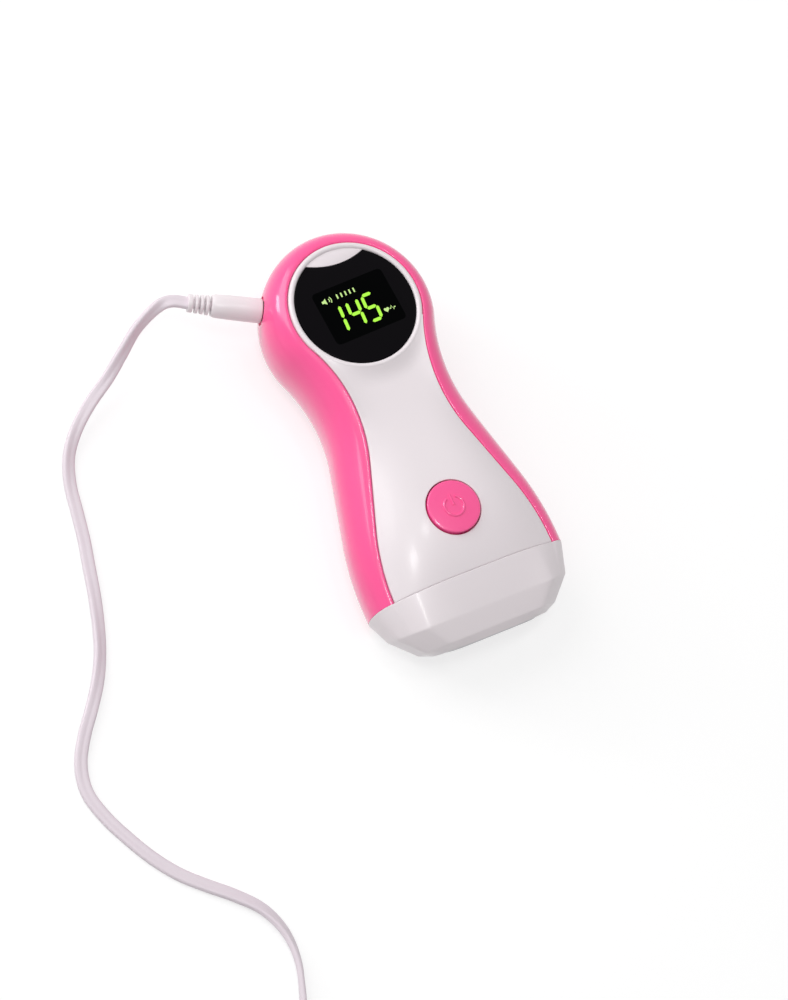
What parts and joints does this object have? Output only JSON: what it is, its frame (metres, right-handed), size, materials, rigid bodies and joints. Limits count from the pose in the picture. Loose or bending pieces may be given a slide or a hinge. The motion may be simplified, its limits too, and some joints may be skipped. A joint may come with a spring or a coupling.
{
  "type": "fetal doppler monitor",
  "caption": "Handheld fetal doppler monitor with a round display head, a waisted grip, a power button, an angled probe cap and a coiled audio lead plugged into its side.",
  "frame": {"origin": "middle of the footprint of the monitor body, lying on its flat back; the audio lead beside it is left out of this footprint", "axes": "+X to the right of the display, +Y from the probe towards the round display head, +Z out of the display"},
  "size_m": [0.1591, 0.2899, 0.0318],
  "materials": {
    "pink_plastic": "glossy injection moulded",
    "white_plastic": "satin gloss injection moulded",
    "lens": "polished smoked acrylic",
    "display_glass": "polarised display glass",
    "diffuser": "frosted light guide",
    "grey_plastic": "moulded",
    "elastomer": "soft contact strip",
    "board": "solder mask",
    "chip": "moulded epoxy",
    "bright_metal": "bright plated",
    "capacitor": "sleeved can",
    "resistor": "ceramic chip",
    "screw": "zinc plated steel",
    "black_plastic": "moulded",
    "cord_jacket": "soft satin jacket",
    "window_plastic": "smooth acoustic window",
    "ceramic": "silvered piezo ceramic",
    "cork": "pressed cork",
    "foam": "sound absorbing backing",
    "wire_red": "insulated wire",
    "cell_sleeve": "plain sleeve",
    "contact_metal": "plated contact"
  },
  "bodies": {
    "housing": {"rear_shell": "pink_plastic", "front_cover": "white_plastic", "display_lens": "lens", "display_panel": "display_glass", "display_backlight": "diffuser", "display_frame": "grey_plastic", "contact_strips": "elastomer", "main_board": "board", "main_chip": "chip", "amplifier_chip": "chip", "crystal_can": "bright_metal", "capacitors": "capacitor", "chip_resistors": "resistor", "board_screws": "screw", "housing_screws": "screw", "power_switch": "grey_plastic", "rocker_pin": "screw", "volume_switches": "grey_plastic", "headphone_jack": "black_plastic", "probe_cap": "white_plastic", "contact_window": "window_plastic", "transmit_crystal": "ceramic", "receive_crystal": "ceramic", "crystal_holder": "grey_plastic", "crystal_divider": "cork", "backing_foam": "foam", "probe_leads": "wire_red", "battery_left": "cell_sleeve", "battery_right": "cell_sleeve", "battery_cradle": "black_plastic", "battery_springs": "bright_metal", "contact_plates": "contact_metal", "battery_leads": "wire_red"},
    "button": {"power_button": "pink_plastic", "switch_plunger": "chip"},
    "rocker": {"volume_rocker": "pink_plastic"},
    "lead": {"plug_barrel": "white_plastic", "plug_shaft": "bright_metal", "lead_cord": "cord_jacket", "lead_coil": "cord_jacket", "coil_tie": "black_plastic", "far_plug_barrel": "white_plastic", "far_plug_shaft": "bright_metal"},
    "door": {"battery_door": "pink_plastic"}
  },
  "joints": [
    {"name": "power_button_press", "type": "slide", "parent": "housing", "child": "button", "axis": [0, 0, -1], "range_m": [0, 0.0008], "stiffness_N_per_m": 1500, "springref_m": -0.0006},
    {"name": "volume_rocker_tilt", "type": "hinge", "parent": "housing", "child": "rocker", "pos_m": [0.02314, 0.04087, 0.0177], "axis": [0, 0, 1], "range_deg": [-3, 3], "stiffness_Nm_per_rad": 0.05},
    {"name": "battery_door_hinge", "type": "hinge", "parent": "housing", "child": "door", "pos_m": [0, 0.00605, 0.0011], "axis": [1, 0, 0], "range_deg": [0, 75]},
    {"name": "audio_plug_slide", "type": "slide", "parent": "housing", "child": "lead", "axis": [-0.8988, 0.4384, 0], "range_m": [0, 0.015]}
  ]
}
